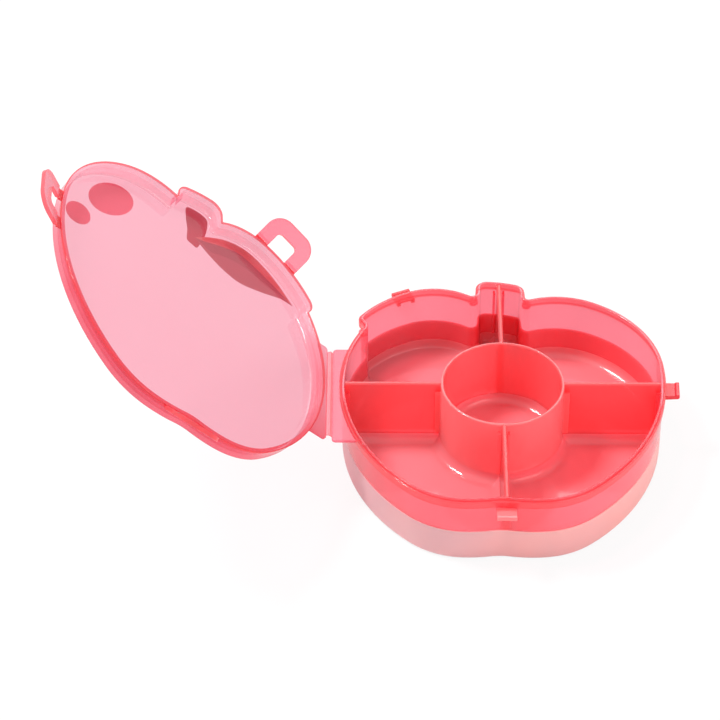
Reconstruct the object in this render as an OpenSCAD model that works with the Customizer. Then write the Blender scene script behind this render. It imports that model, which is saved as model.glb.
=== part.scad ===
// Fruit-shaped toddler snack container: a five-compartment base with a hinged lid
// and three snap latches. Shown with the lid open; all sizes in millimetres.
// Origin: centre of the cup, on the table. X points to the right catch, Y to the stem.

/* [Outline] */
// Width of the base across its cheeks
base_w = 164.7; // [160:0.5:170]

/* [Base] */
// Height of the base from the table to the lip
base_h = 41.5; // [40:0.5:44]
// Wall thickness of the coloured tub
wall_t = 1.7; // [1.6:0.1:2]
// Lean of the lid skirt, cup and dividers, in degrees
draft = 2; // [1:0.25:2.5]
// Height of the pale lower shell
shell_h = 19.5; // [16:0.5:22]
// Thickness of the pale lower shell
shell_t = 0.8; // [0.7:0.1:0.9]
// Radius of the outer bottom edge
bottom_r = 2.5; // [1.8:0.1:2.6]
// Radius where the inner wall meets the floor
floor_r = 5; // [3:0.5:6]
// How far the flange stands out under the lid
flange_out = 1.1; // [0.9:0.1:1.3]
// Height of the flange band
flange_h = 3.9; // [3:0.1:5]
// Height of the lip above the flange
lip_h = 1.2; // [1:0.1:1.6]

/* [Compartments] */
// Outer radius of the centre cup at its top
cup_r = 31.6; // [29:0.2:34]
// Wall thickness of the centre cup
cup_t = 1.6; // [1.4:0.1:2.2]
// How far the cup and dividers stop below the lip
divider_drop = 0.5; // [0.3:0.1:1.5]
// Divider thickness at the top
divider_t = 2.4; // [2:0.1:3]
// Radius of the foot of the dividers and the cup
foot_r = 5; // [3:0.5:6]
// Clearance between a divider and its neighbours
divider_clear = 0.08; // [0.05:0.01:0.15]
// How far the guide ribs stand out
rib_out = 2.2; // [1.6:0.2:2.6]

/* [Lid] */
// Height of the lid over its rim
lid_h = 9; // [8:0.1:10]
// Thickness of the lid panel
lid_t = 1.5; // [1.3:0.1:1.8]
// Radius of the outer edge of the lid panel
lid_edge_r = 1.4; // [1.2:0.1:2]
// Gap between the lid skirt and the lip it drops over
lid_clear = 0.35; // [0.3:0.05:0.5]
// Gap between the closed lid and the flange
seat_gap = 0.1; // [0.08:0.02:0.2]
// How far the lid rim bead stands out from the wall line
bead_out = 2.8; // [2.4:0.1:2.9]
// Opening of the lid from closed, in degrees
lid_open = 139; // [0:1:175]

/* [Hinge and latches] */
// How far the fold line stands out from the left cheek
fold_out = 5.3; // [4.9:0.1:6.3]
// Length of the hinge flaps
flap_len = 69; // [60:1:72]
// Thickness of the hinge flaps
flap_t = 1.6; // [1.4:0.1:2]
// Thickness of the folding film
film_t = 0.5; // [0.4:0.05:0.6]
// Width of each latch loop
latch_w = 28.5; // [26:0.5:30]
// Reach of each latch loop
latch_reach = 18; // [16:0.5:19]
// Width of the window in each latch loop
window_w = 12.6; // [11.6:0.2:14]
// Thickness of each latch loop
latch_t = 2.2; // [1.8:0.1:2.4]
// Width of each catch
catch_w = 10; // [8:0.5:10.5]
// How far each catch stands out from the wall
catch_out = 8.2; // [6:0.2:8.6]

/* [Hidden] */
$fn = 96;

part_gap = 0.05;
u = base_w / 164.7;
fold_x = 82.7 * u + fold_out;
shell_floor = 1;
floor_top = shell_floor + part_gap + 1.55;
ledge_z = base_h - lip_h;
flange_z = ledge_z - flange_h;
axis_z = ledge_z + seat_gap / 2;
cup_top = base_h - divider_drop;
k = tan(draft);
lip_t = wall_t - (base_h - flange_z) * k;
skirt_in = lid_clear;
skirt_t = 1.65;
shell_in_r = 0.7;
edge_r = 1.4;
bead_h = 1.4;
ear_r = 2.5;
ear_out = 3.5;
pad_w = 12;
prong_w = 2;

// The outline as a chain of tangent pieces, run anticlockwise from the front dimple.
// Arc: [signed radius, heading at its end]; straight: ["line", length].
// Positive radii bulge outwards and negative ones are hollows.
dimple_r = 30 * u;
// The crooks stay wider than the bead that runs round them.
crook_clear = 0.2;
crook_r = max(3 * u, bead_out + crook_clear);
dimple_turn = 9;
front_x = -2.3 * u;
front_y = -85.4 * u;
fruit = [
    [72, 5.6],         // front, right half
    [43.5, 39.2],       // right foot of the fruit
    [104, 96.2],        // right cheek
    [60, 155.5],
    [42, 198.3],        // right shoulder
    [-crook_r / u, 94], // crook beside the stem
    ["line", 4.8],     // right side of the stem
    [4.5, 163],
    [60, 178],         // end of the stem
    [4.5, 266],
    ["line", 4.5],     // left side of the stem
    [-crook_r / u, 147.6], // crook between stem and leaf
    [34, 201],         // back of the leaf
    [58, 232.6],
    [4.2, 300],        // tip of the leaf
    ["line", 2.6],
    [-crook_r / u, 239.9], // crook under the leaf tip
    [84, 265.1],        // left cheek
    [99, 318.9],
    [43.5, 357.6],     // left foot of the fruit
    [72, 360 + dimple_turn],
    [-30, 360 - dimple_turn] // front dimple
];
chain = [for (c = fruit) is_num(c[0]) ? [c[0] * u, c[1]] : [c[0], c[1] * u]];
fit_a = 2;
fit_b = 18;
fruit_end = 5;
fruit_start = 16;
N = len(chain);

function is_line(i) = chain[i][0] == "line";
function end_head(i) = i < 0 ? -dimple_turn : is_line(i) ? end_head(i - 1) : chain[i][1];
heads = [for (i = [0:N - 1]) end_head(i)];
function h0(i) = i == 0 ? -dimple_turn : heads[i - 1];
function turn(i) = [sin(heads[i]) - sin(h0(i)), cos(h0(i)) - cos(heads[i])];
function raw_step(i) = is_line(i)
    ? chain[i][1] * [cos(h0(i)), sin(h0(i))]
    : chain[i][0] * turn(i);
function total(i, skip) = i < 0 ? [0, 0]
    : total(i - 1, skip) + (skip && (i == fit_a || i == fit_b) ? [0, 0] : raw_step(i));

// The two cheek radii come from closing the loop.
gap = -total(N - 1, true);
ta = turn(fit_a);
tb = turn(fit_b);
det = ta[0] * tb[1] - ta[1] * tb[0];
r_a = (gap[0] * tb[1] - gap[1] * tb[0]) / det;
r_b = (ta[0] * gap[1] - ta[1] * gap[0]) / det;

function rad(i) = i == fit_a ? r_a : i == fit_b ? r_b : chain[i][0];
function step(i) = is_line(i) ? raw_step(i) : rad(i) * turn(i);
start = [front_x + dimple_r * sin(dimple_turn), front_y - dimple_r * (1 - cos(dimple_turn))];
function joint(i) = i == 0 ? start : joint(i - 1) + step(i - 1);
joints = [for (i = [0:N - 1]) joint(i)];
function next(i) = i == N - 1 ? joints[0] : joints[i + 1];
function out(h) = [sin(h), -cos(h)];
function center(i) = joints[i] - rad(i) * out(h0(i));

// Base wall faces: distance out from the outline at height z
function wall_out(z) = 0;
function wall_in(z) = -wall_t;

// ---- 2D helpers ----

function unit(v) = v / norm(v);
function cross2(a, b) = a[0] * b[1] - a[1] * b[0];

// Corner geometry: touching points on both edges and the centre of the round
function corner(v, a, b, r) = let (
    da = unit(a - v),
    db = unit(b - v),
    half = acos(da * db) / 2
) [v + da * r / tan(half), v + unit(da + db) * r / sin(half), v + db * r / tan(half)];

// Polygon run anticlockwise with a radius at each corner
module rounded(p, r) {
    n = len(p);
    function a(i) = p[(i + n - 1) % n];
    function b(i) = p[(i + 1) % n];
    function hollow(i) = r[i] > 0 && cross2(p[i] - a(i), b(i) - p[i]) < 0;
    function bulge(i) = r[i] > 0 && !hollow(i);
    function pts(i) = hollow(i) ? corner(p[i], a(i), b(i), r[i]) : [p[i]];
    difference() {
        polygon([for (i = [0:n - 1]) each pts(i)]);
        for (i = [0:n - 1]) if (hollow(i))
            translate(corner(p[i], a(i), b(i), r[i])[1]) circle(r[i], $fn = 40);
        for (i = [0:n - 1]) if (bulge(i)) sliver(p[i], a(i), b(i), r[i]);
    }
}

module sliver(v, a, b, r) {
    t = corner(v, a, b, r);
    difference() {
        polygon([t[0], v + (v - t[1]) * 0.15, t[2], t[1]]);
        translate(t[1]) circle(r, $fn = 40);
    }
}

// Sweeps a section drawn as [distance out, height] along one piece of the outline.
// Every other piece is a hair larger and longer, so that its neighbours end inside it.
step_d = 0.02;
function grow(i) = i % 2 == 0 ? step_d : 0;
module sweep_one(i) {
    over = i % 2 == 0 ? 0.05 : 0;
    if (is_line(i))
        translate(joints[i]) rotate([0, 0, h0(i)]) rotate([90, 0, 90])
            translate([0, 0, -over]) linear_extrude(chain[i][1] + 2 * over) mirror([1, 0]) children();
    else {
        da = over / abs(rad(i)) * 180 / PI;
        if (rad(i) > 12)
            translate(center(i)) rotate([0, 0, h0(i) - 90 - da])
                rotate_extrude(angle = heads[i] - h0(i) + 2 * da) translate([rad(i), 0]) children();
        else if (rad(i) > 0)
            translate(center(i)) rotate([0, 0, h0(i) - 90 - da])
                rotate_extrude(angle = heads[i] - h0(i) + 2 * da) intersection() {
                    translate([rad(i), 0]) children();
                    translate([0, -10]) square([50, 90]);
                }
        else
            translate(center(i)) rotate([0, 0, heads[i] + 90 - da])
                rotate_extrude(angle = h0(i) - heads[i] + 2 * da)
                    translate([-rad(i), 0]) mirror([1, 0]) children();
    }
}

all_round = [for (i = [0:N - 1]) i];
// The stem and leaf tip are too narrow for the large bottom radii.
narrow = [for (i = all_round) if (i >= fruit_end && i <= fruit_start) i];
wide = [for (i = all_round) if (i < fruit_end || i > fruit_start) i];

// The area inside the outline, moved outwards by off
function steps(i) = ceil(abs(heads[i] - h0(i)) / (abs(rad(i)) > 20 ? 3 : 15));
function along(i, off) = is_line(i)
    ? [joints[i] + off * out(h0(i))]
    : [for (t = [0:steps(i) - 1])
        center(i) + (rad(i) + off) * out(h0(i) + (heads[i] - h0(i)) * t / steps(i))];
module area(off) {
    polygon([for (i = [0:N - 1]) each along(i, off)]);
}

// ---- base ----

// Fillet between the inner wall and the floor, grown all round by e
module floor_fillet(e) {
    c = floor_r - 0.8;
    d = 0.1;
    translate([-wall_t, floor_top]) difference() {
        translate([-c - e, -0.6 - e]) square([c + 0.5 + 2 * e, c + 0.6 + 2 * e]);
        translate([d - floor_r, floor_r - d]) circle(floor_r - e, $fn = 60);
    }
}

module tub() {
    z0 = shell_floor + part_gap;
    z1 = shell_h + part_gap;
    color("#f4646c") {
        difference() {
            union() {
                translate([0, 0, z0]) linear_extrude(1) area(-shell_t - part_gap - shell_in_r);
                translate([0, 0, z0 + shell_in_r]) linear_extrude(z1 - z0 - shell_in_r)
                    area(-shell_t - part_gap);
                translate([0, 0, z1]) linear_extrude(base_h - z1) area(0);
                translate([0, 0, flange_z]) linear_extrude(flange_h) area(flange_out);
            }
            translate([0, 0, floor_top]) linear_extrude(base_h) area(-wall_t);
        }
        for (i = wide) sweep_one(i) floor_fillet(grow(i));
        for (s = [0:3]) wall_ribs(s);
        for (i = crooks) ear(i);
        front_pad();
    }
}

// Round tab under the flange in a crook of the outline
crooks = [5, 11, 16];
module ear(i) {
    h = (h0(i) + heads[i]) / 2;
    q = joints[i] + rad(i) * (out(h) - out(h0(i)));
    translate([q[0], q[1], flange_z - 1.4]) rotate([0, 0, h - 90])
        translate([ear_out - ear_r, 0, 0]) cylinder(r = ear_r, h = 2.2);
}

// Raised pad on the flange over the front catch
module front_pad() {
    translate([-pad_w / 2, front_y - flange_out - 0.25, ledge_z - 3.2])
        cube([pad_w, flange_out + 0.6, 3.0]);
}

// Pair of guide ribs on the wall at the end of each divider
module wall_ribs(s) {
    rib_t = 1.2;
    z0 = floor_top + floor_r + 1.5;
    z1 = cup_top - 4.5;
    reach = div_end(s);
    intersection() {
        rotate([0, 0, 90 * s])
            for (m = [-1, 1])
                translate([reach - rib_out, m * (rib_gap + rib_t / 2) - rib_t / 2, z0])
                    cube([rib_out + 2.4, rib_t, z1 - z0]);
        translate([0, 0, z0 - 1]) linear_extrude(z1 - z0 + 2) area(-wall_t / 2);
    }
}

rib_gap = divider_t / 2 + 12 * k + 0.2;
wall_dist = [82.3, 78.7, 82.1, 85.5] * u;
fillet_gap = [0.35, 0, 0.35, 0.2];
function div_end(s) = wall_dist[s] - lip_t - 0.25;

module shell_section(e, toe, r) {
    rounded([
        [toe - e, 2 * step_d - e],
        [e, 2 * step_d - e],
        [e, shell_h + e],
        [-shell_t - e, shell_h + e],
        [-shell_t - e, shell_floor + e],
        [toe - e, shell_floor + e]
    ], [0, r, 0.2, 0.2, shell_in_r, 0]);
}

module lower_shell() {
    color("#f0b9b8") {
        for (i = wide) sweep_one(i) shell_section(grow(i), -9, bottom_r);
        for (i = narrow) sweep_one(i) shell_section(grow(i), -4.15, edge_r);
        linear_extrude(shell_floor - step_d) area(-3.9);
    }
}

module cup_section(clear) {
    z0 = floor_top;
    top = cup_top;
    kk = tan(draft / 4);
    ro = cup_r + (top - z0) * kk;
    ri = cup_r - cup_t - (top - z0) * kk;
    difference() {
        union() {
            rounded([[ri, z0], [ro + clear, z0], [cup_r + clear, top], [cup_r - cup_t, top]],
                [0, 0, 0.7, 0.7]);
            difference() {
                translate([ro - 0.5, z0]) square([foot_r + 0.5, foot_r]);
                translate([ro + foot_r, z0 + foot_r]) circle(foot_r - clear);
            }
            difference() {
                translate([ri - foot_r, z0]) square([foot_r + 0.5, foot_r]);
                translate([ri - foot_r, z0 + foot_r]) circle(foot_r);
            }
        }
    }
}

module center_cup() {
    color("#ee5058") {
        rotate_extrude() cup_section(0);
        for (s = [0:3]) rotate([0, 0, 90 * s]) cup_ribs();
    }
}

module cup_ribs() {
    rib_t = 1.2;
    z0 = floor_top + foot_r + 1.5;
    z1 = cup_top - 4.5;
    for (m = [-1, 1])
        translate([cup_r - cup_t / 2, m * (rib_gap + rib_t / 2) - rib_t / 2, z0])
            cube([cup_t / 2 + rib_out + 0.6, rib_t, z1 - z0]);
}

// Upright plate from the cup to the wall, with rounded top and filleted foot
module divider_solid(reach) {
    z0 = floor_top;
    h = cup_top - z0;
    b = divider_t / 2 + h * tan(draft / 4);
    translate([cup_r - 1, 0, 0]) rotate([90, 0, 90]) linear_extrude(reach - cup_r + 1) {
        rounded([[-b, z0], [b, z0], [divider_t / 2, cup_top], [-divider_t / 2, cup_top]],
            [0, 0, 0.9, 0.9]);
        for (m = [0, 1]) mirror([m, 0]) difference() {
            translate([b - 0.6, z0]) square([foot_r + 0.6, foot_r]);
            translate([b + foot_r, z0 + foot_r]) circle(foot_r);
        }
    }
}

module divider(s) {
    reach = div_end(s);
    color("#f04c54") difference() {
        intersection() {
            rotate([0, 0, 90 * s]) divider_solid(reach + 4);
            linear_extrude(base_h) area(-wall_t - divider_clear);
        }
        rotate_extrude() {
            cup_section(divider_clear);
            translate([10, 0]) square([cup_r - 10.5, base_h + 5]);
        }
        if (s != 1) rotate([0, 0, 90 * s]) rotate([90, 0, 0]) linear_extrude(30, center = true)
            translate([wall_dist[s] - wall_t - fillet_gap[s], floor_top]) difference() {
                translate([-floor_r - 0.3, -1]) square([floor_r + 5, floor_r + 1.3]);
                translate([-floor_r, floor_r]) circle(floor_r);
            }
    }
}

module divider_right() { divider(0); }
module divider_back() { divider(1); }
module divider_left() { divider(2); }
module divider_front() { divider(3); }

// ---- catches ----

// Point and outward direction on the outline for the three latches
latch_at = [
    [joints[2] + rad(2) * (out(88.5) - out(h0(2))), 88.5],
    [[0, front_y], 0],
    [joints[13] + rad(13) * (out(203.5) - out(201)), 203.5]
];
function latch_pos(j) = latch_at[j][0];
function latch_head(j) = latch_at[j][1];

// Hollow hook on two prongs: X out of the wall, Y along it
module catch_block() {
    zt = flange_z - 0.3;
    h = 3.6;
    tip = catch_out;
    difference() {
        rotate([90, 0, 0]) translate([0, 0, -catch_w / 2]) linear_extrude(catch_w)
            rounded([[-3, zt - h], [tip - 0.6, zt - h + 0.9], [tip, zt - h + 1.6], [tip, zt],
                [tip - 1.6, zt], [tip - 2.4, zt - 0.7], [0.6, zt - 0.7], [-3, zt - 0.7]],
                [0, 0.5, 0.5, 0.5, 0.4, 0, 0, 0]);
        translate([-4, prong_w - catch_w / 2, zt - h - 1])
            cube([4 + tip - 1.8, catch_w - 2 * prong_w, h - 0.7]);
    }
}

module catch_piece(j) {
    color("#f7727a") difference() {
        translate(latch_pos(j)) rotate([0, 0, latch_head(j) - 90]) catch_block();
        translate([0, 0, 10]) linear_extrude(40) area(part_gap);
    }
}

module catch_right() { catch_piece(0); }
module catch_front() { catch_piece(1); }
module catch_back() { catch_piece(2); }

// ---- hinge ----

flap_y = -7.5 * u;
flap_edge = 1.2;
flap_drop = 0.85;

module flap_plate(len, depth) {
    rounded([[0, -len / 2], [depth, -len / 2], [depth, len / 2], [0, len / 2]], [2, 0, 0, 2]);
}

module base_hinge_flap() {
    color("#f8858f") difference() {
        translate([-fold_x + flap_edge, flap_y, axis_z - flap_drop - flap_t])
            linear_extrude(flap_t) flap_plate(flap_len, 22);
        translate([0, 0, 20]) linear_extrude(40) area(flange_out + part_gap);
    }
}

bead_r = 0.45;

// Half of the folding film from the fold line to a flap edge, lying along +X
module film_half(len, start) {
    a = atan2(flap_drop + film_t / 2, flap_edge);
    l = norm([flap_edge, flap_drop + film_t / 2]);
    rotate([90, 0, 0]) translate([0, 0, -len / 2]) linear_extrude(len)
        difference() {
            intersection() {
                rotate(-a) translate([0, -film_t / 2]) square([l + 2, film_t]);
                translate([0, -4]) square([flap_edge, 8]);
            }
            circle(start);
        }
}

module hinge_film() {
    color("#f6cdd2") translate([-fold_x, flap_y, axis_z]) {
        film_half(flap_len - 6, 0.2);
        rotate([90, 0, 0]) cylinder(r = bead_r, h = flap_len - 6, center = true);
    }
}

module lid_hinge_film() {
    color("#f6cdd2") translate([-fold_x, flap_y, axis_z]) rotate([0, -lid_open, 0])
        mirror([0, 0, 1]) film_half(flap_len - 6, bead_r + 0.08);
}

// ---- lid, drawn closed above its own rim and then opened ----

module open_lid() {
    translate([-fold_x, 0, axis_z]) rotate([0, -lid_open, 0])
        translate([fold_x, 0, seat_gap / 2]) children();
}

function skirt_out(z) = skirt_in + skirt_t - z * k / 2;

module lid_wall_section(e) {
    rounded([
        [skirt_in - e, -e],
        [bead_out + e, -e],
        [bead_out + e, bead_h + e],
        [skirt_out(bead_h) + e, bead_h + e],
        [skirt_out(lid_h) + e, lid_h + e],
        [-3.9 - e, lid_h + e],
        [-3.9 - e, lid_h - lid_t - e],
        [skirt_in - (lid_h - lid_t) * k / 2 - e, lid_h - lid_t - e]
    ], [0, 0.5, 0.4, 0, lid_edge_r, 0, 0, 1.5]);
}

module lid_shell() {
    color("#f9a3b2") open_lid() {
        for (i = all_round) sweep_one(i) lid_wall_section(grow(i));
        translate([0, 0, lid_h - lid_t + 0.02]) linear_extrude(lid_t - 0.04) area(-3.4);
    }
}

module lid_hinge_flap() {
    z0 = flap_drop - seat_gap / 2;
    color("#fb8a98") open_lid() difference() {
        translate([-fold_x + flap_edge, flap_y, z0])
            linear_extrude(flap_t) flap_plate(flap_len, 22);
        linear_extrude(6) area(bead_out + part_gap);
    }
}

// ---- latches ----

root_out = [for (x = [0.4, 1.3, 0]) bead_out + 1.0 + x];
root_z = 1.0;
latch_rest = [29, 37, 41];
latch_round = 9;
window_l = 9.8;

// Places children with X pointing out of the lid at latch j, Y along the wall
module at_latch(j) {
    open_lid() translate([latch_pos(j)[0], latch_pos(j)[1], 0])
        rotate([0, 0, latch_head(j) - 90]) translate([root_out[j], 0, root_z]) children();
}

leg_w = (latch_w - window_w) / 2;
leg_y = (window_w + leg_w) / 2;

module latch_roots() {
    color("#f26a76") difference() {
        for (j = [0:2], m = [-1, 1]) at_latch(j) translate([0, m * leg_y, 0]) {
            rotate([90, 0, 0]) cylinder(r = bead_r, h = leg_w, center = true);
            translate([-3.6, -leg_w / 2, -film_t / 2]) cube([3.6, leg_w, film_t]);
        }
        open_lid() linear_extrude(3, center = true) area(bead_out + part_gap);
    }
}

// D-shaped loop lying along +X from its root
module latch_loop(j) {
    w = latch_w;
    l = latch_reach;
    color("#fc90a5") at_latch(j) rotate([0, latch_rest[j], 0])
        difference() {
            translate([0, 0, -latch_t / 2]) linear_extrude(latch_t)
                rounded([[bead_r + 0.1, -w / 2], [l, -w / 2], [l, w / 2], [bead_r + 0.1, w / 2]],
                    [0, latch_round, latch_round, 0]);
            translate([0, 0, -latch_t]) linear_extrude(latch_t * 2) window_shape();
            for (m = [0, 1]) mirror([0, 0, m]) rotate([90, 0, 0])
                translate([0, 0, -w / 2 - 1]) linear_extrude(w + 2)
                    polygon([[-1, film_t / 2], [0.9, film_t / 2], [2.1, latch_t / 2 + 0.2],
                        [-1, latch_t / 2 + 0.2]]);
        }
}

module window_shape() {
    a = window_w / 2;
    rounded([[-2, -a], [window_l, -a], [window_l, a], [-2, a]], [0, 2.5, 2.5, 0]);
}

module latch_right() { latch_loop(0); }
module latch_front() { latch_loop(1); }
module latch_back() { latch_loop(2); }

// ---- prints on the outer face of the lid ----

print_t = 0.08;

module print_layer() {
    open_lid() translate([0, 0, lid_h + step_d + 0.02]) linear_extrude(print_t) children();
}

module oval(a, b) {
    polygon([for (t = [0:6:354]) [a * cos(t), b * sin(t)]]);
}

// Circle through a and b that bulges to the left of a-b by sag
module bow(a, b, sag) {
    c = norm(b - a);
    r = (c * c / 4 + sag * sag) / (2 * sag);
    m = (a + b) / 2;
    d = (b - a) / c;
    left = [-d[1], d[0]];
    translate(m + left * (sag - r)) circle(r, $fn = 120);
}

leaf_a = [-4, 57.5] * u;
leaf_b = [-67.5, 53.5] * u;

// Lines between the leaf's three tones
module leaf_upper_line() {
    bow(leaf_b - [6, 3] * u, leaf_a + [6, -3] * u, 13.6 * u);
}

module leaf_lower_line() {
    translate([-40, -245] * u) circle(300 * u, $fn = 200);
}

module leaf_shape() {
    intersection() {
        bow(leaf_b, leaf_a, 15.2 * u);
        bow(leaf_a, leaf_b, 10.5 * u);
    }
}

module leaf_print_upper() {
    color("#a9563a") print_layer() difference() {
        leaf_shape();
        leaf_upper_line();
    }
}

module leaf_print_middle() {
    color("#8c3f3a") print_layer() difference() {
        intersection() {
            leaf_shape();
            leaf_upper_line();
        }
        leaf_lower_line();
    }
}

module leaf_print_lower() {
    color("#a5605c") print_layer() intersection() {
        leaf_shape();
        leaf_lower_line();
    }
}

module stem_print() {
    color("#7a2f26") print_layer() difference() {
        rounded([[4, 60.6], [5.2, 69], [3, 75.8], [-5, 76.6], [-9.6, 74.6], [-9.6, 66],
            [-5.2, 56.6], [2.5, 52.6]] * u, [2, 8, 0.6, 6, 3, 14, 1, 0.8] * u);
        leaf_shape();
    }
}

module shine_print_large() {
    color("#ffffff") print_layer()
        translate([50.4, 45] * u) rotate(132.5) oval(17.3 * u, 10 * u);
}

module shine_print_small() {
    color("#ffffff") print_layer()
        translate([69.2, 18.9] * u) rotate(125) oval(8.6 * u, 7 * u);
}

tub();
lower_shell();
center_cup();
divider_left();
divider_right();
divider_front();
divider_back();
catch_right();
catch_front();
catch_back();
base_hinge_flap();
hinge_film();
lid_hinge_film();
lid_hinge_flap();
lid_shell();
latch_roots();
latch_right();
latch_front();
latch_back();
stem_print();
leaf_print_upper();
leaf_print_middle();
leaf_print_lower();
shine_print_large();
shine_print_small();
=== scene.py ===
import math

import bpy
from mathutils import Matrix, Vector


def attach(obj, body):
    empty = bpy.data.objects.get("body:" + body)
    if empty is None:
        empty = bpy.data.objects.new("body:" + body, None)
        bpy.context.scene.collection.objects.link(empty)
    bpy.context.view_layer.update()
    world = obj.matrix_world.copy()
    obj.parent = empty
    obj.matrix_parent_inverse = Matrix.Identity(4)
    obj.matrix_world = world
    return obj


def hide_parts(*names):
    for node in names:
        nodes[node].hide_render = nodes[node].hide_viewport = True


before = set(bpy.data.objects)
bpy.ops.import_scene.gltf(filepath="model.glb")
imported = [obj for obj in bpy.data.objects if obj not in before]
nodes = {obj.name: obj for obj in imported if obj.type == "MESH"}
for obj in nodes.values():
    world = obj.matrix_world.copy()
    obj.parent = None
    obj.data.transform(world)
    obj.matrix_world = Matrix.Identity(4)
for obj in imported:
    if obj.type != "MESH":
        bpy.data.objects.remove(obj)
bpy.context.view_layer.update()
scene = bpy.context.scene
mm = 0.001
print("frame loaded:", len(nodes), "solids")


# Small helpers. Lengths are written in millimetres, and mm turns them into metres.

softening = {
    "edge": 35, "shade": 40, "wallShade": 50,   # degrees: edges to round, faces to shade as one
    "flat": 1.2, "merge": 0.01,                 # degrees between faces and distance that are merged
}


def letGo():
    if bpy.context.object and bpy.context.object.mode != "OBJECT":
        bpy.ops.object.mode_set(mode="OBJECT")
    bpy.ops.object.select_all(action="DESELECT")


def pick(piece):
    letGo()
    piece.select_set(True)
    bpy.context.view_layer.objects.active = piece


def applyAll(piece):
    pick(piece)
    for name in [m.name for m in piece.modifiers]:
        bpy.ops.object.modifier_apply(modifier=name)


def softEdges(piece, width, segments=2):
    bevel = piece.modifiers.new("soft edges", "BEVEL")
    bevel.width = width * mm
    bevel.segments = segments
    bevel.limit_method = "ANGLE"
    bevel.angle_limit = math.radians(softening["edge"])
    bevel.harden_normals = False
    applyAll(piece)


def smooth(piece, angle=softening["shade"]):
    pick(piece)
    bpy.ops.object.shade_smooth_by_angle(angle=math.radians(angle))
    even = piece.modifiers.new("even normals", "WEIGHTED_NORMAL")
    even.keep_sharp = True
    applyAll(piece)


# Outline of the box

# Tangent pieces run anticlockwise from the front dimple: (radius, heading at the end) or a
# straight length. The two cheek radii, None here, come from closing the loop.
outline = {
    "start": (-2.3, -85.4),   # middle of the dimple
    "dimple": (30, 9),        # radius and half its turn
    "pieces": [(72, 5.6), (43.5, 39.2), (None, 96.2), (60, 155.5), (42, 198.3), (-3, 94), 4.8,
               (4.5, 163), (60, 178), (4.5, 266), 4.5, (-3, 147.6), (34, 201), (58, 232.6),
               (4.2, 300), 2.6, (-3, 239.9), (84, 265.1), (None, 318.9), (43.5, 357.6),
               (72, 369), (-30, 351)],
    "narrow": (5, 16),        # first and last piece of stem and leaf tip
    "wallZone": -1.8,         # further in than this, narrow places take only their share
    "narrowShare": 0.34,
    "blend": 5,               # points over which one share passes into the other
    "hollows": (5, 11, 16),   # pieces with a tab beside them
    "largeRadius": 20, "largeStep": 3, "smallStep": 9,   # degrees between points
}


def outward(heading):
    return Vector((math.sin(math.radians(heading)), -math.cos(math.radians(heading))))


def along(heading):
    return Vector((math.cos(math.radians(heading)), math.sin(math.radians(heading))))


def traceOutline(spec):
    # Gives points, their outward directions and shares, and the middle of each piece.
    first = -spec["dimple"][1]
    starts, ends, heading = [], [], first
    for piece in spec["pieces"]:
        starts.append(heading)
        heading = heading if isinstance(piece, float) else piece[1]
        ends.append(heading)

    def stride(i, radius):
        piece = spec["pieces"][i]
        if isinstance(piece, float):
            return piece * along(starts[i])
        return radius * (outward(ends[i]) - outward(starts[i]))

    given = [None if isinstance(piece, float) else piece[0] for piece in spec["pieces"]]
    fitted = [i for i, radius in enumerate(given)
              if radius is None and not isinstance(spec["pieces"][i], float)]
    known = sum((stride(i, radius) for i, radius in enumerate(given) if i not in fitted), Vector((0, 0)))
    u, v = stride(fitted[0], 1), stride(fitted[1], 1)
    area = u.x * v.y - u.y * v.x
    radii = {fitted[0]: (-known.x * v.y + known.y * v.x) / area,
             fitted[1]: (-u.x * known.y + u.y * known.x) / area}
    dimple, turn = spec["dimple"]
    place = Vector(spec["start"]) + Vector((dimple * math.sin(math.radians(turn)),
                                            -dimple * (1 - math.cos(math.radians(turn)))))
    points, directions, shares, bends = [], [], [], []
    for i, piece in enumerate(spec["pieces"]):
        straight = isinstance(piece, float)
        middle = (starts[i] + ends[i]) / 2
        radius = 0 if straight else radii.get(i) or piece[0]
        wide = not spec["narrow"][0] <= i <= spec["narrow"][1]
        step = spec["largeStep"] if abs(radius) > spec["largeRadius"] else spec["smallStep"]
        count = 2 if straight else math.ceil(abs(ends[i] - starts[i]) / step)
        for k in range(count):
            t = k / count
            heading = starts[i] + (ends[i] - starts[i]) * t
            if straight:
                points.append(place + piece * t * along(heading))
            else:
                points.append(place + radius * (outward(heading) - outward(starts[i])))
            directions.append(outward(heading))
            shares.append(1.0 if wide else spec["narrowShare"])
        bends.append((place + radius * (outward(middle) - outward(starts[i])), middle))
        place = place + stride(i, radius)
    n, reach = len(points), spec["blend"]
    shares = [min(sum(shares[(i + d) % n] for d in range(-reach, reach + 1)) / (2 * reach + 1), 1)
              if shares[i] == 1 else shares[i] for i in range(n)]
    return points, directions, shares, bends


outlinePoints, outlineOut, outlineShare, outlineBends = traceOutline(outline)
sides = len(outlinePoints)


def onOutline(i, off, height):
    zone = outline["wallZone"]
    if off < zone:
        off = zone + (off - zone) * outlineShare[i]
    p = outlinePoints[i] + off * outlineOut[i]
    return Vector((p.x * mm, p.y * mm, height * mm))


def arc(x, z, r, a, b, count=6):
    return [(x + r * math.cos(math.radians(a + (b - a) * t / count)),
             z + r * math.sin(math.radians(a + (b - a) * t / count))) for t in range(count + 1)]


def chooseRing(mesh, ring):
    # Leaves the mesh in edit mode with only the ring's points and edges selected.
    bpy.ops.object.mode_set(mode="EDIT")
    bpy.ops.mesh.select_all(action="DESELECT")
    bpy.ops.object.mode_set(mode="OBJECT")
    for v in mesh.vertices:
        v.select = v.index in ring
    for e in mesh.edges:
        e.select = e.vertices[0] in ring and e.vertices[1] in ring
    bpy.ops.object.mode_set(mode="EDIT")


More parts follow.
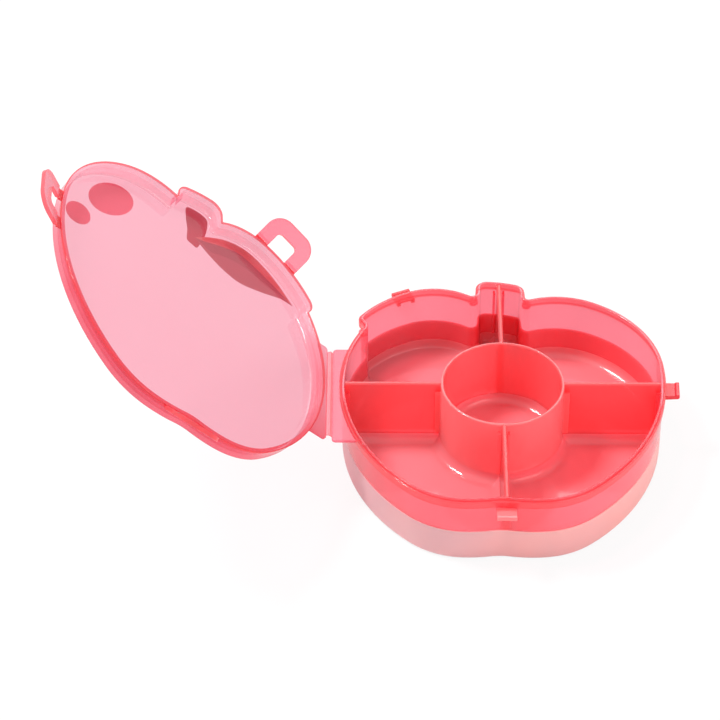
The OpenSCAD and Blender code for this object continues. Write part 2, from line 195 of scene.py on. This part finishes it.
def drawWall(name, profile):
    # Extrudes a ring round the outline through a profile of (distance out, height), ends closed.
    letGo()
    bpy.ops.mesh.primitive_circle_add(vertices=sides)
    piece = bpy.context.object
    piece.name = piece.data.name = name
    mesh = piece.data
    for i in range(sides):
        mesh.vertices[i].co = onOutline(i, *profile[0])
    last = list(range(sides))
    for off, height in profile[1:]:
        where = {tuple(round(c, 7) for c in mesh.vertices[v].co): i for i, v in enumerate(last)}
        old = len(mesh.vertices)
        chooseRing(mesh, set(last))
        bpy.ops.mesh.select_mode(type="EDGE")
        bpy.ops.mesh.extrude_edges_move()
        bpy.ops.object.mode_set(mode="OBJECT")
        fresh = [0] * sides
        for v in range(old, len(mesh.vertices)):
            i = where[tuple(round(c, 7) for c in mesh.vertices[v].co)]
            fresh[i] = v
        for i in range(sides):
            mesh.vertices[fresh[i]].co = onOutline(i, off, height)
        last = fresh
    for ring in (set(range(sides)), set(last)):
        chooseRing(mesh, ring)
        bpy.ops.mesh.edge_face_add()
        bpy.ops.object.mode_set(mode="OBJECT")
    bpy.ops.object.mode_set(mode="EDIT")
    bpy.ops.mesh.select_all(action="SELECT")
    bpy.ops.mesh.normals_make_consistent(inside=False)
    bpy.ops.object.mode_set(mode="OBJECT")
    return piece


# Width and segments of the rounds on pieces taken over from their solids
edgeRounds = {
    "wall": (0.2, 2), "catch": (0.3, 3), "flap": (0.3, 2), "film": (0.05, 1), "root": (0.08, 1),
    "latch": (0.45, 3),
}


def dressed(node, name, kind):
    # A merged, softened copy of a solid.
    letGo()
    mesh = nodes[node].data.copy()
    mesh.name = name
    piece = bpy.data.objects.new(name, mesh)
    scene.collection.objects.link(piece)
    pick(piece)
    bpy.ops.object.mode_set(mode="EDIT")
    bpy.ops.mesh.select_all(action="SELECT")
    bpy.ops.mesh.remove_doubles(threshold=softening["merge"] * mm)
    bpy.ops.mesh.dissolve_limited(angle_limit=math.radians(softening["flat"]))
    bpy.ops.mesh.normals_make_consistent(inside=False)
    bpy.ops.object.mode_set(mode="OBJECT")
    softEdges(piece, *edgeRounds[kind])
    smooth(piece)
    return piece


# Materials

def linear(hexColor):
    parts = [int(hexColor[i:i + 2], 16) / 255 for i in (1, 3, 5)]
    return [c / 12.92 if c <= 0.04045 else ((c + 0.055) / 1.055) ** 2.4 for c in parts] + [1.0]


def addNode(tree, kind, place, settings=None, links=None):
    node = tree.nodes.new(kind)
    node.location = (place[0] * 200, place[1] * 200)
    for key, value in (settings or {}).items():
        if isinstance(key, str) and hasattr(node, key):
            setattr(node, key, value)
        else:
            node.inputs[key].default_value = value
    for key, source in (links or {}).items():
        tree.links.new(source, node.inputs[key])
    return node


def cleared(holder):
    # Node tree of a new material or world, emptied.
    holder.use_nodes = True
    holder.node_tree.nodes.clear()
    return holder.node_tree


driftReach = 80   # half the length over which a tone drifts


def resinGround(tree, flowSize, grainSize, detail, lightDrift, axis):
    # Soft flow tones, shifted along one axis of the box by painted light and shade, and a fine surface
    # grain.
    place = addNode(tree, "ShaderNodeTexCoord", (-6, 0))
    flow = addNode(tree, "ShaderNodeTexNoise", (-5, 1), {"Scale": 1 / (flowSize * mm), "Detail": 2.0},
                   {"Vector": place.outputs["Object"]})
    grain = addNode(tree, "ShaderNodeTexNoise", (-5, -1), {"Scale": 1 / (grainSize * mm), "Detail": detail},
                    {"Vector": place.outputs["Object"]})
    split = addNode(tree, "ShaderNodeSeparateXYZ", (-5, 3), None, {"Vector": place.outputs["Object"]})
    across = addNode(tree, "ShaderNodeMapRange", (-4, 3),
                     {"From Min": -driftReach * mm, "From Max": driftReach * mm,
                      "To Min": -lightDrift, "To Max": lightDrift}, {"Value": split.outputs[axis]})
    share = addNode(tree, "ShaderNodeMath", (-4, 1), {"operation": "ADD", "use_clamp": True},
                    {0: flow.outputs["Fac"], 1: across.outputs[0]})
    return share.outputs[0], grain.outputs["Fac"]


resinIndex = 1.49   # refraction of polypropylene


def polypropylene(name, look):
    # Clear moulded polypropylene: tinted, a little milky, with a satin gloss.
    material = bpy.data.materials.new(name)
    tree = cleared(material)
    share, peel = resinGround(tree, look["flow"], look["peel"], 3.0, look.get("lightDrift", 0.0), "Y")
    milk = addNode(tree, "ShaderNodeMix", (-3, 2),
                   {"data_type": "RGBA", 6: linear(look["milk"][0]), 7: linear(look["milk"][1])},
                   {0: share})
    tint = addNode(tree, "ShaderNodeMix", (-3, 3),
                   {"data_type": "RGBA", 6: linear(look["tint"][0]), 7: linear(look["tint"][1])},
                   {0: share})
    bump = addNode(tree, "ShaderNodeBump", (-3, -1), {"Strength": look["bump"], "Distance": 0.2 * mm},
                   {"Height": peel})
    clear = addNode(tree, "ShaderNodeBsdfTransparent", (-2, 3), None, {"Color": tint.outputs[2]})
    body = addNode(tree, "ShaderNodeBsdfDiffuse", (-2, 1), {"Roughness": 0.2},
                   {"Color": milk.outputs[2], "Normal": bump.outputs[0]})
    through = addNode(tree, "ShaderNodeBsdfTranslucent", (-2, 0), None,
                      {"Color": milk.outputs[2], "Normal": bump.outputs[0]})
    cloud = addNode(tree, "ShaderNodeMixShader", (-1, 1), {0: look["glow"]},
                    {1: body.outputs[0], 2: through.outputs[0]})
    wall = addNode(tree, "ShaderNodeMixShader", (0, 2), {0: look["haze"]},
                   {1: clear.outputs[0], 2: cloud.outputs[0]})
    gloss = addNode(tree, "ShaderNodeBsdfGlossy", (-1, -1), {"Roughness": look["rough"]},
                    {"Normal": bump.outputs[0]})
    edge = addNode(tree, "ShaderNodeFresnel", (-2, 5), {"IOR": resinIndex}, {"Normal": bump.outputs[0]})
    side = addNode(tree, "ShaderNodeNewGeometry", (-3, 5))
    front = addNode(tree, "ShaderNodeMath", (-2, 6), {"operation": "SUBTRACT", 0: 1.0},
                    {1: side.outputs["Backfacing"]})
    shine = addNode(tree, "ShaderNodeMath", (-1, 5), {"operation": "MULTIPLY"},
                    {0: edge.outputs[0], 1: front.outputs[0]})   # only the outside of the resin mirrors
    skin = addNode(tree, "ShaderNodeMixShader", (1, 1), None,
                   {0: shine.outputs[0], 1: wall.outputs[0], 2: gloss.outputs[0]})
    addNode(tree, "ShaderNodeOutputMaterial", (2, 1), None, {"Surface": skin.outputs[0]})
    return material


# Coral polypropylene, injection moulded: white light through one wall reads pink, through several deep red.
coral = polypropylene("coral polypropylene, moulded", {
    "tint": ("#FFC6D0", "#FFC0CB"), "milk": ("#FFAEB7", "#FFA6B0"), "haze": 0.28, "glow": 0.5,
    "rough": 0.06, "bump": 0.1, "flow": 60, "peel": 5})
# The same resin in the flange and lip, where the wall is twice as thick and redder.
flangeCoral = polypropylene("coral polypropylene, moulded flange", {
    "tint": ("#FF929A", "#FF8C95"), "milk": ("#FF9298", "#FC8A90"), "haze": 0.36, "glow": 0.5,
    "rough": 0.06, "bump": 0.08, "flow": 40, "peel": 5})
# The floor lies on the pale shell, which lights it from below, so it is a milkier pink than the walls.
floorCoral = polypropylene("coral polypropylene, moulded floor", {
    "tint": ("#FFD2DA", "#FFCDD6"), "milk": ("#FFC8CE", "#FFC0C8"), "haze": 0.55, "glow": 0.5,
    "rough": 0.06, "bump": 0.1, "flow": 60, "peel": 5})
# The outside of the cup faces the room and scatters more of its white light, painted in as a lighter copy.
cupCoral = polypropylene("coral polypropylene, cup wall painted lighter", {
    "tint": ("#FFA8AE", "#FFA0A6"), "milk": ("#FFC2C4", "#FFB8BB"), "haze": 0.6, "glow": 0.5,
    "rough": 0.07, "bump": 0.1, "flow": 50, "peel": 5})
# Dividers and cup are milkier, so they glow as solid coral against the clear outer wall.
deepCoral = polypropylene("coral polypropylene, milky inner walls", {
    "tint": ("#FF9AA0", "#FF9298"), "milk": ("#FF9A9E", "#FF9094"), "haze": 0.4, "glow": 0.5,
    "rough": 0.07, "bump": 0.1, "flow": 50, "peel": 5})
# Paler pink resin of the lid panel, nearly clear.
lidPink = polypropylene("pink polypropylene, moulded panel", {
    "tint": ("#FFE2EA", "#FFDFE7"), "milk": ("#F48FA4", "#F28AA0"), "haze": 0.18, "glow": 0.4,
    "rough": 0.08, "bump": 0.08, "flow": 70, "peel": 5})
# The skirt is seen edge on through more resin, so it reads a deeper pink band round the panel.
# Its tone is painted lighter towards the back and darker towards the front, as light and shade.
lidSkirt = polypropylene("pink polypropylene, moulded skirt", {
    "tint": ("#FFA4B2", "#FFE8F0"), "milk": ("#E04860", "#F696A6"), "haze": 0.28, "glow": 0.4,
    "rough": 0.08, "bump": 0.08, "flow": 40, "peel": 5, "lightDrift": 0.8})
# The outer edge of the panel is solid resin from side to side, one band of coral pink.
# Like the skirt, its tone is painted lighter towards the back and darker towards the front, as light and
# shade.
panelEdge = polypropylene("pink polypropylene, solid panel edge", {
    "tint": ("#FF909E", "#FFDCE4"), "milk": ("#E4586E", "#F69CAC"), "haze": 0.34, "glow": 0.4,
    "rough": 0.08, "bump": 0.08, "flow": 40, "peel": 5, "lightDrift": 0.8})
# Rim edges gather light from the whole wall and show as thin red lines.
edgeCoral = polypropylene("coral polypropylene, rim edges", {
    "tint": ("#FF8088", "#FF7A84"), "milk": ("#EE5460", "#E84E5A"), "haze": 0.55, "glow": 0.4,
    "rough": 0.08, "bump": 0.06, "flow": 30, "peel": 5})
# Flaps and latches: thicker pink resin, a little milky.
lidRim = polypropylene("pink polypropylene, flaps and latches", {
    "tint": ("#FFCFDA", "#FFCBD6"), "milk": ("#FA8298", "#F87C92"), "haze": 0.4, "glow": 0.4,
    "rough": 0.14, "bump": 0.08, "flow": 40, "peel": 5})


def satinResin(name, look):
    # Opaque milky polypropylene with a fine spark-eroded surface.
    material = bpy.data.materials.new(name)
    tree = cleared(material)
    share, grain = resinGround(tree, look["flow"], look["grain"], 4.0, look["lightDrift"], "X")
    color = addNode(tree, "ShaderNodeMix", (-2, 1),
                    {"data_type": "RGBA", 6: linear(look["color"][0]), 7: linear(look["color"][1])},
                    {0: share})
    rough = addNode(tree, "ShaderNodeMapRange", (-2, 0),
                    {"To Min": look["rough"] - 0.04, "To Max": look["rough"] + 0.06}, {"Value": grain})
    bump = addNode(tree, "ShaderNodeBump", (-2, -1), {"Strength": look["bump"], "Distance": 0.1 * mm},
                   {"Height": grain})
    skin = addNode(tree, "ShaderNodeBsdfPrincipled", (0, 0),
                   {"IOR": resinIndex, "Subsurface Weight": look["depth"],
                    "Subsurface Radius": (4 * mm, 2 * mm, 2 * mm), "Subsurface Scale": 1.0},
                   {"Base Color": color.outputs[2], "Roughness": rough.outputs[0],
                    "Normal": bump.outputs[0]})
    addNode(tree, "ShaderNodeOutputMaterial", (2, 0), None, {"Surface": skin.outputs[0]})
    return material


# Milky pale pink polypropylene of the outer shell, satin from a textured mould.
# It is painted darker and greyer to the left as shade, and warmer to the right as the coral glowing
# through.
paleResin = satinResin("pale pink polypropylene, satin", {
    "color": ("#D8A8AC", "#FAAEA9"), "flow": 50, "grain": 0.9, "rough": 0.42, "bump": 0.15, "depth": 0.2,
    "lightDrift": 0.5})
# The hinge film is a thin rolled strip with a rougher skin.
filmResin = satinResin("pink polypropylene film, folded", {
    "color": ("#F8848E", "#F47882"), "flow": 6, "grain": 0.8, "rough": 0.35, "bump": 0.3, "depth": 0.2,
    "lightDrift": 0.0})
# Pad-printed inks, thin and matt, seen through the panel.
inkLook = {"flow": 15, "grain": 0.6, "rough": 0.5, "bump": 0.2, "depth": 0.0, "lightDrift": 0.0}
stemInk = satinResin("brown ink, pad printed", {**inkLook, "color": ("#A8262E", "#9E2028")})
leafInk = satinResin("ochre ink, pad printed", {**inkLook, "color": ("#8E4840", "#864238")})
leafInkLow = satinResin("umber ink, pad printed", {**inkLook, "color": ("#A4645E", "#9C5C56")})
leafInkLight = satinResin("light ochre ink, pad printed", {**inkLook, "color": ("#CC8468", "#C47C60")})
# The shine spots are a white print; their ink is painted a darker pink as shade, since it blocks the light
# from behind.
shineInk = satinResin("highlight ink in painted shade, pad printed", {
    **inkLook, "color": ("#E0929A", "#DA8A92"), "flow": 20, "rough": 0.45})
print("materials made")


def finishPiece(piece, material, body, node):
    # Gives a piece its material and body, in place of the solid it is drawn over.
    piece.data.materials.clear()
    piece.data.materials.append(material)
    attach(piece, body)
    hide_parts(node)


def dye(piece, material, low, high, outerOnly=False):
    # Gives the faces between two heights a material of their own.
    piece.data.materials.append(material)
    slot = len(piece.data.materials) - 1
    for face in piece.data.polygons:
        facesOut = face.normal.x * face.center.x + face.normal.y * face.center.y > 0
        if low * mm < face.center.z < high * mm and (facesOut or not outerOnly):
            face.material_index = slot


def dyeSides(piece, material):
    # Gives the narrow sides of a plate a material of their own.
    piece.data.materials.append(material)
    slot = len(piece.data.materials) - 1
    flat = max(piece.data.polygons, key=lambda face: face.area).normal.copy()
    for face in piece.data.polygons:
        if abs(face.normal.dot(flat)) < 0.6:   # 1 is a flat side, 0 a square edge
            face.material_index = slot


# Base

base = {
    "height": 41.5, "ledge": 40.3, "flange": 36.4, "flangeOut": 1.1, "lip": 1.5,
    "lean": math.tan(math.radians(0.4)), "floorTop": 2.6, "floorRadius": 5,
    "tubUnder": 1.1, "tubCorner": 1.5, "flangeRound": 0.35, "rimRound": 0.4, "mouthRound": 0.5,
    "seamDrop": 0.2, "seamSteps": [(-0.8, 0.05), (-0.2, 0.05), (0, 0.25)],   # each step is (out, up)
    "underFlange": [(-0.02, -0.4), (0.15, -0.1)], "overLedge": [(0.25, 0), (0.05, 0.15)],
    "outerStop": 28, "innerStops": (30, 18), "shellStop": 12,   # heights on the leaning walls
    "shellHeight": 19.5, "shellWall": 0.8, "shellGap": 0.1, "bottomRadius": 2.5,
    "shellRimOut": 0.25, "shellRimIn": 0.2,
}
floorEdge = base["floorTop"] + base["floorRadius"]


def wallOut(z):
    return -(base["flange"] - z) * base["lean"]


def wallIn(z):
    return -base["lip"] - (base["height"] - z) * base["lean"]


def stepped(out, up, steps):
    return [(out + x, up + z) for x, z in steps]


def makeTub(b):
    seam, top, ledge, flange = b["shellHeight"], b["height"], b["ledge"], b["flange"]
    under, rim, mouth = b["flangeRound"], b["rimRound"], b["mouthRound"]
    inset, corner = b["shellWall"] + b["shellGap"], b["tubCorner"]
    cornerLevel = b["tubUnder"] + corner
    profile = (arc(wallOut(cornerLevel) - inset - corner, cornerLevel, corner, -90, 0)
               + [(wallOut(seam) - inset, seam - b["seamDrop"])]
               + stepped(wallOut(seam), seam, b["seamSteps"])
               + [(wallOut(b["outerStop"]), b["outerStop"])]
               + stepped(0, flange, b["underFlange"])
               + arc(b["flangeOut"] - under, flange + under, under, -90, 0, 3)
               + arc(b["flangeOut"] - rim, ledge - rim, rim, 0, 90, 4)
               + stepped(0, ledge, b["overLedge"])
               + arc(-rim, top - rim, rim, 0, 90, 4)
               + arc(wallIn(top) + mouth, top - mouth, mouth, 90, 180, 4)
               + [(wallIn(z), z) for z in b["innerStops"]]
               + arc(wallIn(floorEdge) - b["floorRadius"], floorEdge, b["floorRadius"], 0, -90, 8))
    return drawWall("tub_body", profile)


def makeShell(b):
    top, wall, r, stop = b["shellHeight"], b["shellWall"], b["bottomRadius"], b["shellStop"]
    outer, inner = b["shellRimOut"], b["shellRimIn"]
    corner = wallOut(r) - r
    profile = (arc(corner, r, r, -90, 0, 8)
               + [(wallOut(stop), stop)]
               + arc(wallOut(top) - outer, top - outer, outer, 0, 90, 3)
               + arc(wallOut(top) - wall + inner, top - inner, inner, 90, 180, 2)
               + [(wallOut(stop) - wall, stop)]
               + arc(corner, r, r - wall, 0, -90, 8))
    return drawWall("pale_shell", profile)


tub = makeTub(base)
smooth(tub, softening["wallShade"])
shell = makeShell(base)
smooth(shell, softening["wallShade"])
print("base walls drawn:", len(tub.data.polygons), "faces")


def barBox(name, low, high, bevel):
    letGo()
    low, high = Vector(low) * mm, Vector(high) * mm
    bpy.ops.mesh.primitive_cube_add(size=1, location=(low + high) / 2)
    piece = bpy.context.object
    piece.name = piece.data.name = name
    piece.scale = high - low
    bpy.ops.object.transform_apply(location=True, rotation=True, scale=True)
    softEdges(piece, bevel)
    return piece


def joinInto(piece, others):
    pick(piece)
    for other in others:
        other.select_set(True)
    bpy.ops.object.join()


# Guide ribs that hold the divider ends, two at each wall
ribs = {
    "reach": [80.4, 76.9, 80.2, 83.6],   # to the wall at the right, back, left and front
    "gap": 1.85, "thick": 1.2, "out": 2.2, "bite": 0.9, "low": 9.2, "high": 36.5, "round": 0.3,
}


def makeRibs(r):
    made = []
    for turn, reach in enumerate(r["reach"]):
        for side in (-1, 1):
            middle = side * (r["gap"] + r["thick"] / 2)
            rib = barBox("guide_rib", (reach - r["out"], middle - r["thick"] / 2, r["low"]),
                         (reach + r["bite"], middle + r["thick"] / 2, r["high"]), r["round"])
            rib.data.transform(Matrix.Rotation(math.radians(90 * turn), 4, "Z"))
            made.append(rib)
    return made


# Round tabs under the flange in the three hollows of the outline
tabs = {"out": 0.95, "radius": 2.45, "thick": 2.1, "middle": 36.1, "round": 0.4, "steps": 3, "sides": 40}


def makeTabs(t):
    made = []
    for bend in outline["hollows"]:
        letGo()
        spot, heading = outlineBends[bend]
        spot = (spot + t["out"] * outward(heading)) * mm
        bpy.ops.mesh.primitive_cylinder_add(vertices=t["sides"], radius=t["radius"] * mm,
                                            depth=t["thick"] * mm,
                                            location=(spot.x, spot.y, t["middle"] * mm))
        tab = bpy.context.object
        bpy.ops.object.transform_apply(location=True, rotation=True, scale=True)
        softEdges(tab, t["round"], t["steps"])
        made.append(tab)
    return made


# Raised pad on the flange over the front catch
pad = {"low": (-5.95, -86.7, 37.15), "high": (5.95, -86.2, 40.05), "round": 0.15}

joinInto(tub, makeRibs(ribs))
finishPiece(tub, coral, "base", "tub")
tubBands = [
    (floorCoral, 0, floorEdge),
    (flangeCoral, base["flange"] - 0.3, base["height"] + 1),
    (edgeCoral, base["flange"] - 0.2, base["flange"] + 0.3),     # lower edge of the flange
    (edgeCoral, base["ledge"] + 0.02, base["height"] - 0.42),    # outside of the lip
    # the top of the lip takes the skirt's lighter pink as a painted highlight
    (lidSkirt, base["height"] - 0.12, base["height"] + 1),       # top of the lip
]
for material, low, high in tubBands:
    dye(tub, material, low, high)
extras = makeTabs(tabs) + [barBox("front_pad", pad["low"], pad["high"], pad["round"])]
for extra in extras:
    extra.data.materials.append(coral)
joinInto(tub, extras)
smooth(tub, softening["wallShade"])
finishPiece(shell, paleResin, "base", "lower_shell")

footTop = floorEdge - 0.4   # cup and dividers take the floor's tone up to here
for node in ("center_cup", "divider_left", "divider_right", "divider_front", "divider_back"):
    piece = dressed(node, node + "_wall", "wall")
    finishPiece(piece, deepCoral, "base", node)
    dye(piece, floorCoral, 0, footTop)
    if node == "center_cup":
        dye(piece, cupCoral, footTop, base["height"] + 0.5, True)
for node in ("catch_right", "catch_front", "catch_back"):
    piece = dressed(node, node + "_hook", "catch")
    # The front catch takes the cup's coral with its painted light; the other catches take the edge coral.
    finishPiece(piece, cupCoral if node == "catch_front" else edgeCoral, "base", node)
flap = dressed("base_hinge_flap", "base_flap_plate", "flap")
finishPiece(flap, lidRim, "base", "base_hinge_flap")
film = dressed("hinge_film", "hinge_film_strip", "film")
finishPiece(film, filmResin, "base", "hinge_film")
print("base dressed")


# Lid

lid = {
    "fold": -88.0, "axis": 40.35, "seat": 0.05, "open": 139,
    "height": 9.0, "panel": 1.5, "draft": 2, "skirtIn": 0.35, "skirt": 1.65, "bead": 2.8,
    "beadHeight": 1.4, "beadRound": 0.45, "edgeRadius": 1.4, "innerRadius": 1.8,
    "innerSteps": [(0.03, 4.2), (0.06, 2)], "footSteps": [(0, 0.35), (0.25, 0.02)],   # (out, up)
    "overBead": [(0.35, 0), (0.05, 0.25)], "outerStops": (4.2, 6.2),
    "skirtTop": 4.3,   # the skirt's tone ends here and the panel edge's begins
}
openLid = (Matrix.Translation((lid["fold"] * mm, 0, lid["axis"] * mm))
           @ Matrix.Rotation(math.radians(-lid["open"]), 4, "Y")
           @ Matrix.Translation((-lid["fold"] * mm, 0, lid["seat"] * mm)))


def makeLid(b):
    lean = math.tan(math.radians(b["draft"])) / 2
    top, under, r = b["height"], b["height"] - b["panel"], b["innerRadius"]
    bead, rim, rise = b["bead"], b["beadRound"], b["beadHeight"]
    inside = b["skirtIn"] - under * lean
    outside = b["skirtIn"] + b["skirt"]
    edge = outside - (top - b["edgeRadius"]) * lean - b["edgeRadius"]
    profile = (arc(inside - r, under - r, r, 90, 0, 6)
               + stepped(inside, 0, b["innerSteps"])
               + stepped(b["skirtIn"], 0, b["footSteps"])
               + arc(bead - rim, rim, rim, -90, 0, 4)
               + arc(bead - rim, rise - rim, rim, 0, 90, 4)
               + stepped(outside, rise, b["overBead"])
               + [(outside - z * lean, z) for z in b["outerStops"]]
               + arc(edge, top - b["edgeRadius"], b["edgeRadius"], 0, 90, 8))
    piece = drawWall("lid_body", profile)
    smooth(piece, softening["wallShade"])
    return piece


cover = makeLid(lid)
finishPiece(cover, lidPink, "lid", "lid_shell")
dye(cover, lidSkirt, -1, lid["skirtTop"])
dye(cover, edgeCoral, -1, lid["beadHeight"] + 0.02, True)
dye(cover, panelEdge, lid["skirtTop"], lid["height"] - 0.05, True)
cover.data.transform(openLid)
flap = dressed("lid_hinge_flap", "lid_flap_plate", "flap")
finishPiece(flap, lidSkirt, "lid", "lid_hinge_flap")
film = dressed("lid_hinge_film", "lid_film_strip", "film")
finishPiece(film, filmResin, "lid", "lid_hinge_film")
roots = dressed("latch_roots", "latch_root_plates", "root")
finishPiece(roots, edgeCoral, "lid", "latch_roots")
for body in ("latch_right", "latch_front", "latch_back"):
    piece = dressed(body, body + "_loop", "latch")
    finishPiece(piece, lidRim, body, body)
    dyeSides(piece, flangeCoral)
print("lid dressed")

# Printed stem and leaf on the outer face of the panel, as curve points in lid coordinates
prints = {
    "stem": [(1.7, 60.3), (3.4, 70.8), (2.8, 77.2), (-4.4, 78.7), (-9.2, 77.8), (-10.9, 75.2),
             (-10.6, 68.5), (-9.6, 63), (-7.4, 56.5), (-5.9, 52), (-4.6, 50.4), (-2, 50.8), (0.8, 51.6),
             (1.7, 53)],
    "leafTop": [(-3.2, 57.4), (-12, 64.4), (-24, 71), (-37, 73.2), (-49, 69.4), (-59, 63),
                (-69.2, 53.6)],
    "upperLine": [(-63.5, 56.2), (-55, 60.2), (-45, 64), (-33, 67.2), (-21, 64), (-10, 59.3)],
    "lowerLine": [(-56, 55.6), (-50, 57), (-42, 58.4), (-33, 59.3), (-24, 57.6), (-15, 54.4)],
    "leafBottom": [(-61, 53.4), (-47, 48.2), (-33.5, 44.9), (-23, 46.6), (-14, 50.4), (-7, 54.6)],
    "low": 9.04, "thick": 0.04, "gap": 0.01,
}


def curveThrough(points, parts=6):
    # Smooth curve through the points, ends included.
    ends = [points[0]] + points + [points[-1]]
    line = []
    for i in range(len(points) - 1):
        a, b, c, d = (Vector(p) for p in ends[i:i + 4])
        for t in (j / parts for j in range(parts)):
            line.append(0.5 * (2 * b + (c - a) * t + (2 * a - 5 * b + 4 * c - d) * t * t
                               + (3 * b - a - 3 * c + d) * t ** 3))
    return line + [Vector(points[-1])]


def printPatch(name, line, ink, node, low):
    # A thin flat patch of ink inside a closed line, on the open lid.
    letGo()
    bpy.ops.mesh.primitive_circle_add(vertices=len(line), fill_type="NGON")
    piece = bpy.context.object
    piece.name = piece.data.name = name
    for v, p in zip(piece.data.vertices, line):
        v.co = (p[0] * mm, p[1] * mm, low * mm)
    bpy.ops.object.mode_set(mode="EDIT")
    bpy.ops.mesh.select_all(action="SELECT")
    bpy.ops.mesh.extrude_region_move(TRANSFORM_OT_translate={"value": (0, 0, prints["thick"] * mm)})
    bpy.ops.mesh.select_all(action="SELECT")
    bpy.ops.mesh.normals_make_consistent(inside=False)
    bpy.ops.object.mode_set(mode="OBJECT")
    piece.data.transform(openLid)
    finishPiece(piece, ink, "lid", node)


tip = [Vector(prints["leafTop"][-1])]
start = [Vector(prints["leafTop"][0])]
top = curveThrough(prints["leafTop"])
upper = curveThrough(prints["upperLine"])
lower = curveThrough(prints["lowerLine"])
bottom = curveThrough(prints["leafBottom"])
leafParts = {
    "upper": (top + upper, leafInkLight),
    "middle": (start + upper[::-1] + lower, leafInk),
    "lower": (tip + bottom + start + lower[::-1] + upper[:1], leafInkLow),
}
for part, (line, ink) in leafParts.items():
    printPatch("leaf_" + part + "_ink", line, ink, "leaf_print_" + part, prints["low"])
stemLine = curveThrough(prints["stem"] + prints["stem"][:1], 4)[:-1]
printPatch("stem_ink", stemLine, stemInk, "stem_print",
           prints["low"] + prints["thick"] + prints["gap"])
for node in ("shine_print_large", "shine_print_small"):
    nodes[node].data.materials.clear()
    nodes[node].data.materials.append(shineInk)


# Table, light and camera

room = {
    "tableWidth": 6, "tableLevel": -0.2, "tableWhite": 0.88,   # width in metres, level in millimetres
    "board": (0.9, 0.9, 0.9, 1), "white": (1, 1, 1, 1), "walls": 0.56,
}


def seenDirectly(tree):
    # One for what the camera, a mirror or clear resin shows, nought for scattered light.
    path = addNode(tree, "ShaderNodeLightPath", (-4, 0))
    shiny = addNode(tree, "ShaderNodeMath", (-3, 0), {"operation": "MAXIMUM"},
                    {0: path.outputs["Is Camera Ray"], 1: path.outputs["Is Glossy Ray"]})
    seen = addNode(tree, "ShaderNodeMath", (-2, 0), {"operation": "MAXIMUM"},
                   {0: shiny.outputs[0], 1: path.outputs["Is Transmission Ray"]})
    return seen.outputs[0]


def tableMaterial():
    # White table that shows as white to the camera and keeps a faint shadow.
    material = bpy.data.materials.new("white table, matt")
    tree = cleared(material)
    share = addNode(tree, "ShaderNodeMath", (-1, 0), {"operation": "MULTIPLY", 1: room["tableWhite"]},
                    {0: seenDirectly(tree)})
    board = addNode(tree, "ShaderNodeBsdfDiffuse", (-1, 1), {"Color": room["board"]})
    white = addNode(tree, "ShaderNodeEmission", (-1, -1), {"Color": room["white"], "Strength": 1.0})
    mix = addNode(tree, "ShaderNodeMixShader", (0, 0), None,
                  {0: share.outputs[0], 1: board.outputs[0], 2: white.outputs[0]})
    addNode(tree, "ShaderNodeOutputMaterial", (1, 0), None, {"Surface": mix.outputs[0]})
    return material


def whiteRoom():
    # Walls that light the box softly and show as plain white.
    world = bpy.data.worlds.new("white room")
    tree = cleared(world)
    seen = seenDirectly(tree)
    walls = addNode(tree, "ShaderNodeBackground", (-1, 1),
                    {"Color": room["white"], "Strength": room["walls"]})
    white = addNode(tree, "ShaderNodeBackground", (-1, -1), {"Color": room["white"], "Strength": 1.0})
    mix = addNode(tree, "ShaderNodeMixShader", (0, 0), None,
                  {0: seen, 1: walls.outputs[0], 2: white.outputs[0]})
    addNode(tree, "ShaderNodeOutputWorld", (1, 0), None, {"Surface": mix.outputs[0]})
    return world


letGo()
bpy.ops.mesh.primitive_plane_add(size=room["tableWidth"], location=(0, 0, room["tableLevel"] * mm))
table = bpy.context.object
table.name = "table_top"
table.data.materials.append(tableMaterial())
scene.world = whiteRoom()

# Places and sizes of the lamps in metres, power in watts
lamps = {
    "glint": {"at": (-0.65, 0.2, 1.1), "size": 0.3, "power": 15},
    "fill": {"at": (1.0, -0.8, 1.0), "size": 1.0, "power": 8},
    "back": {"at": (0.25, 1.25, 1.05), "size": 0.7, "power": 4.5},
}
for name, lamp in lamps.items():
    letGo()
    bpy.ops.object.light_add(type="AREA", location=lamp["at"])
    light = bpy.context.object
    light.name = name + "_softbox"
    light.data.shape = "SQUARE"
    light.data.size = lamp["size"]
    light.data.energy = lamp["power"]
    light.rotation_euler = (-Vector(lamp["at"])).to_track_quat("-Z", "Y").to_euler()

view = {
    "at": (-66.257, -1302.994, 1214.827), "tilt": 48.3581, "turn": 0.2866, "lens": 171.908,
    "sensor": 36, "reach": 20,   # reach in metres
}
letGo()
bpy.ops.object.camera_add(location=[c * mm for c in view["at"]],
                          rotation=(math.radians(view["tilt"]), 0, math.radians(view["turn"])))
camera = bpy.context.object
camera.data.lens = view["lens"]
camera.data.sensor_width = view["sensor"]
camera.data.clip_end = view["reach"]
scene.camera = camera
scene.view_settings.view_transform = "Standard"
scene.cycles.transparent_max_bounces = 24   # a ray crosses up to ten walls of clear resin
print("stage set")
